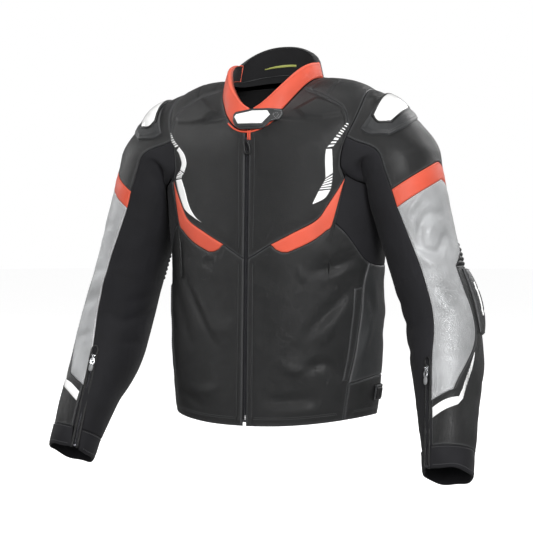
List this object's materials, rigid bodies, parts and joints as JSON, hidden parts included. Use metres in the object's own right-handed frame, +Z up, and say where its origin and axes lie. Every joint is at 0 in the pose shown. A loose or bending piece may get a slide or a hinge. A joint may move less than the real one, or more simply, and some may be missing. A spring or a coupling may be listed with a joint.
{
  "type": "leather riding jacket",
  "caption": "Leather motorcycle jacket of sewn panels with a zipped front, padded collar tab, hard shoulder cups, bending sleeves and zipped cuffs.",
  "frame": {"origin": "middle of the neck seam ring's sides, where the jacket hangs on the neck and shoulders", "axes": "+Z up, front faces -Y, the wearer's left is +X"},
  "size_m": [0.7858, 0.2675, 0.7372],
  "materials": {
    "black_leather": "soft satin grain",
    "red_leather": "satin grain",
    "silver_leather": "metallic satin",
    "grey_leather": "satin grain",
    "accordion_leather": "ribbed satin",
    "stretch_fabric": "matte knit",
    "lining_fabric": "matte mesh",
    "armour_foam": "matte",
    "white_print": "satin",
    "white_cup": "gloss",
    "zip_tape": "matte weave",
    "dark_metal": "satin",
    "bright_metal": "satin",
    "label_tape": "matte weave"
  },
  "bodies": {
    "torso": {"chest_panel_l": "black_leather", "chest_panel_r": "black_leather", "front_panel_l": "black_leather", "front_panel_r": "black_leather", "side_panel_l": "grey_leather", "side_panel_r": "grey_leather", "hem_side_panels": "black_leather", "underarm_gussets": "stretch_fabric", "shoulder_yokes": "black_leather", "back_panel_upper": "black_leather", "back_stretch_band": "accordion_leather", "back_panel_lower": "black_leather", "red_chevrons": "red_leather", "chest_stripes": "white_print", "collar_back": "black_leather", "collar_fronts": "red_leather", "collar_piping": "red_leather", "storm_flap": "black_leather", "main_zip_tapes": "zip_tape", "main_zip_chain": "dark_metal", "pocket_welts": "black_leather", "pocket_bags": "lining_fabric", "torso_lining": "lining_fabric", "back_protector": "armour_foam", "shoulder_armour": "armour_foam", "hanger_loop": "label_tape", "connection_zip": "zip_tape", "shoulder_slider_l": "white_cup", "shoulder_slider_r": "white_cup"},
    "main_slider": {"main_zip_slider": "dark_metal"},
    "main_puller": {"main_zip_puller": "dark_metal"},
    "neck_tab": {"collar_tab": "black_leather"},
    "waist_adjuster_l": {"waist_tab_l": "black_leather"},
    "upper_arm_l": {"sleeve_cap_l": "black_leather", "stretch_upper_l": "stretch_fabric", "red_band_l": "red_leather", "silver_panel_l": "silver_leather", "rear_sleeve_l": "accordion_leather"},
    "forearm_l": {"forearm_leather_l": "black_leather", "stretch_lower_l": "stretch_fabric", "elbow_protector_l": "grey_leather", "elbow_armour_l": "armour_foam", "cuff_band_l": "stretch_fabric", "cuff_zip_l": "zip_tape"},
    "cuff_zip_slider_l": {"cuff_slider_l": "bright_metal"},
    "cuff_zip_puller_l": {"cuff_puller_l": "bright_metal"},
    "waist_adjuster_r": {"waist_tab_r": "black_leather"},
    "upper_arm_r": {"sleeve_cap_r": "black_leather", "stretch_upper_r": "stretch_fabric", "red_band_r": "red_leather", "silver_panel_r": "silver_leather", "rear_sleeve_r": "accordion_leather"},
    "forearm_r": {"forearm_leather_r": "black_leather", "stretch_lower_r": "stretch_fabric", "elbow_protector_r": "grey_leather", "elbow_armour_r": "armour_foam", "cuff_band_r": "stretch_fabric", "cuff_zip_r": "zip_tape"},
    "cuff_zip_slider_r": {"cuff_slider_r": "bright_metal"},
    "cuff_zip_puller_r": {"cuff_puller_r": "bright_metal"}
  },
  "joints": [
    {"name": "main_zip_run", "type": "slide", "parent": "torso", "child": "main_slider", "axis": [0, -0.0242, -0.9997], "range_m": [0, 0.452]},
    {"name": "main_puller_swing", "type": "hinge", "parent": "main_slider", "child": "main_puller", "pos_m": [0, -0.12914, -0.10791], "axis": [-1, 0, 0], "range_deg": [0, 100]},
    {"name": "collar_tab_open", "type": "hinge", "parent": "torso", "child": "neck_tab", "pos_m": [0.06, -0.1185, -0.08], "axis": [0, 0, 1], "range_deg": [0, 110]},
    {"name": "waist_tab_open_l", "type": "hinge", "parent": "torso", "child": "waist_adjuster_l", "pos_m": [0.17445, 0.03994, -0.53881], "axis": [0, 0, 1], "range_deg": [0, 100]},
    {"name": "shoulder_swing_l", "type": "hinge", "parent": "torso", "child": "upper_arm_l", "pos_m": [0.2, -0.006, -0.115], "axis": [-1, 0, 0], "range_deg": [-20, 60], "deforming": ["sleeve_cap_l", "stretch_upper_l"]},
    {"name": "elbow_bend_l", "type": "hinge", "parent": "upper_arm_l", "child": "forearm_l", "pos_m": [0.306, -0.018, -0.405], "axis": [-0.9704, -0.034, -0.2391], "range_deg": [-10, 60], "deforming": ["silver_panel_l", "rear_sleeve_l", "stretch_upper_l"]},
    {"name": "cuff_zip_run_l", "type": "slide", "parent": "forearm_l", "child": "cuff_zip_slider_l", "axis": [0.0866, -0.2682, -0.9595], "range_m": [0, 0.142]},
    {"name": "cuff_puller_swing_l", "type": "hinge", "parent": "cuff_zip_slider_l", "child": "cuff_zip_puller_l", "pos_m": [0.31132, -0.10375, -0.48377], "axis": [-0.9028, 0.3862, -0.1894], "range_deg": [0, 100]},
    {"name": "waist_tab_open_r", "type": "hinge", "parent": "torso", "child": "waist_adjuster_r", "pos_m": [-0.17445, 0.03994, -0.53881], "axis": [0, 0, -1], "range_deg": [0, 100]},
    {"name": "shoulder_swing_r", "type": "hinge", "parent": "torso", "child": "upper_arm_r", "pos_m": [-0.2, -0.006, -0.115], "axis": [-1, 0, 0], "range_deg": [-20, 60], "deforming": ["sleeve_cap_r", "stretch_upper_r"]},
    {"name": "elbow_bend_r", "type": "hinge", "parent": "upper_arm_r", "child": "forearm_r", "pos_m": [-0.306, -0.018, -0.405], "axis": [-0.9704, 0.034, 0.2391], "range_deg": [-10, 60], "deforming": ["silver_panel_r", "rear_sleeve_r", "stretch_upper_r"]},
    {"name": "cuff_zip_run_r", "type": "slide", "parent": "forearm_r", "child": "cuff_zip_slider_r", "axis": [-0.0866, -0.2682, -0.9595], "range_m": [0, 0.142]},
    {"name": "cuff_puller_swing_r", "type": "hinge", "parent": "cuff_zip_slider_r", "child": "cuff_zip_puller_r", "pos_m": [-0.31132, -0.10375, -0.48377], "axis": [-0.9028, -0.3862, 0.1894], "range_deg": [0, 100]}
  ]
}
